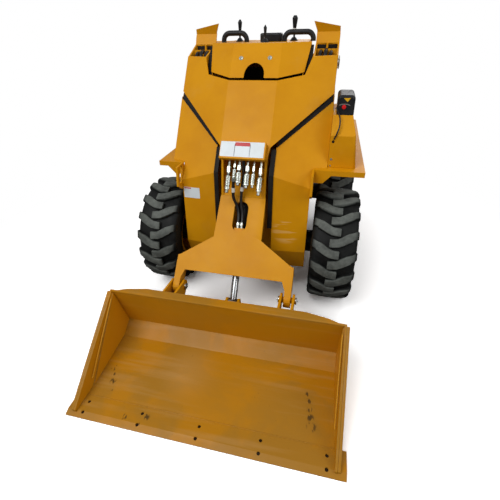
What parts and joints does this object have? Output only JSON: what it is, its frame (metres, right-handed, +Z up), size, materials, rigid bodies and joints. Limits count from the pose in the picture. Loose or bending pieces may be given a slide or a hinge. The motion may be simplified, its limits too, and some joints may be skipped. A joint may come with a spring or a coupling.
{
  "type": "skid steer loader",
  "caption": "Compact stand-on skid steer loader on wheels: folded front boom plate with a central neck, dirt bucket, lift and tilt cylinders and a folding operator platform.",
  "frame": {"origin": "centre of the bounding box on the ground", "axes": "+X towards the machine's left, +Y towards its rear, +Z up"},
  "size_m": [1.102, 2.153, 1.3201],
  "materials": {
    "yellow_paint": "amber yellow paint, satin, scratched inside the bucket",
    "black_paint": "black paint, satin",
    "engine_iron": "cast, dull",
    "tyre_rubber": "moulded, dusty on the lugs",
    "black_plastic": "moulded, fine grain",
    "zinc": "zinc plated, turned",
    "chrome": "hard chrome, polished",
    "hose_rubber": "smooth hose cover"
  },
  "bodies": {
    "chassis": {"frame": "yellow_paint", "frame_shields": "black_paint", "wheel_motors": "black_paint", "engine": "engine_iron", "nose_panel_left": "yellow_paint", "nose_panel_right": "yellow_paint", "side_cover_left": "yellow_paint", "side_cover_right": "yellow_paint", "fender_left": "yellow_paint", "fender_right": "yellow_paint", "tank": "yellow_paint", "tank_top": "black_plastic", "hood_plate": "yellow_paint", "hood": "yellow_paint", "rear_grille": "black_paint", "hand_loops": "black_plastic", "hand_rest": "black_plastic", "levers": "black_plastic", "pivot_pins": "zinc", "lift_pins": "zinc", "platform_hinge": "black_paint"},
    "boom": {"boom_plate": "yellow_paint", "boom_neck": "yellow_paint", "arm_left": "yellow_paint", "arm_right": "yellow_paint", "coupler_box": "yellow_paint", "couplers": "zinc", "tilt_hose_outer": "hose_rubber", "tilt_hose_inner": "hose_rubber"},
    "bucket": {"bucket_shell": "yellow_paint", "bucket_sides": "yellow_paint", "cutting_edge": "yellow_paint", "bucket_ears": "yellow_paint"},
    "tilt_barrel": {"tilt_barrel": "black_paint"},
    "tilt_rod": {"tilt_rod": "chrome"},
    "lift_barrel_left": {"lift_barrel_left": "black_paint"},
    "lift_rod_left": {"lift_rod_left": "chrome"},
    "lift_barrel_right": {"lift_barrel_right": "black_paint"},
    "lift_rod_right": {"lift_rod_right": "chrome"},
    "platform": {"operator_platform": "black_paint"},
    "wheel_front_left": {"tyre_front_left": "tyre_rubber", "rim_front_left": "yellow_paint"},
    "wheel_front_right": {"tyre_front_right": "tyre_rubber", "rim_front_right": "yellow_paint"},
    "wheel_rear_left": {"tyre_rear_left": "tyre_rubber", "rim_rear_left": "yellow_paint"},
    "wheel_rear_right": {"tyre_rear_right": "tyre_rubber", "rim_rear_right": "yellow_paint"}
  },
  "joints": [
    {"name": "wheel_front_left_spin", "type": "hinge", "parent": "chassis", "child": "wheel_front_left", "pos_m": [0.444, -0.0635, 0.292], "axis": [1, 0, 0], "continuous": true},
    {"name": "wheel_front_right_spin", "type": "hinge", "parent": "chassis", "child": "wheel_front_right", "pos_m": [-0.444, -0.0635, 0.292], "axis": [1, 0, 0], "continuous": true},
    {"name": "wheel_rear_left_spin", "type": "hinge", "parent": "chassis", "child": "wheel_rear_left", "pos_m": [0.444, 0.6065, 0.292], "axis": [1, 0, 0], "continuous": true},
    {"name": "wheel_rear_right_spin", "type": "hinge", "parent": "chassis", "child": "wheel_rear_right", "pos_m": [-0.444, 0.6065, 0.292], "axis": [1, 0, 0], "continuous": true},
    {"name": "boom_lift", "type": "hinge", "parent": "chassis", "child": "boom", "pos_m": [0, 0.7565, 1.08], "axis": [-1, 0, 0], "range_deg": [0, 65]},
    {"name": "bucket_tilt", "type": "hinge", "parent": "boom", "child": "bucket", "pos_m": [0, -0.5055, 0.245], "axis": [1, 0, 0], "range_deg": [-25, 95]},
    {"name": "tilt_barrel_swing", "type": "hinge", "parent": "boom", "child": "tilt_barrel", "pos_m": [0, -0.1585, 0.598], "axis": [1, 0, 0], "range_deg": [-1, 3]},
    {"name": "tilt_rod_slide", "type": "slide", "parent": "tilt_barrel", "child": "tilt_rod", "axis": [0, -0.6017, -0.7987], "range_m": [-0.126, 0.036]},
    {"name": "platform_fold", "type": "hinge", "parent": "chassis", "child": "platform", "pos_m": [0, 0.8365, 0.25], "axis": [1, 0, 0], "range_deg": [0, 85]},
    {"name": "lift_barrel_left_swing", "type": "hinge", "parent": "chassis", "child": "lift_barrel_left", "pos_m": [0.287, 0.5775, 0.48], "axis": [1, 0, 0], "range_deg": [-17, 0.5]},
    {"name": "lift_rod_left_slide", "type": "slide", "parent": "lift_barrel_left", "child": "lift_rod_left", "axis": [0, -0.3271, 0.945], "range_m": [-0.002, 0.346]},
    {"name": "lift_barrel_right_swing", "type": "hinge", "parent": "chassis", "child": "lift_barrel_right", "pos_m": [-0.287, 0.5775, 0.48], "axis": [1, 0, 0], "range_deg": [-17, 0.5]},
    {"name": "lift_rod_right_slide", "type": "slide", "parent": "lift_barrel_right", "child": "lift_rod_right", "axis": [0, -0.3271, 0.945], "range_m": [-0.002, 0.346]}
  ],
  "couplings": [
    {"joint": "tilt_barrel_swing", "follows": "bucket_tilt", "ratio": 0.02},
    {"joint": "tilt_rod_slide", "follows": "bucket_tilt", "m_per_rad": -0.074},
    {"joint": "lift_barrel_left_swing", "follows": "boom_lift", "ratio": -0.249},
    {"joint": "lift_rod_left_slide", "follows": "boom_lift", "m_per_rad": 0.3018},
    {"joint": "lift_barrel_right_swing", "follows": "boom_lift", "ratio": -0.249},
    {"joint": "lift_rod_right_slide", "follows": "boom_lift", "m_per_rad": 0.3018}
  ]
}
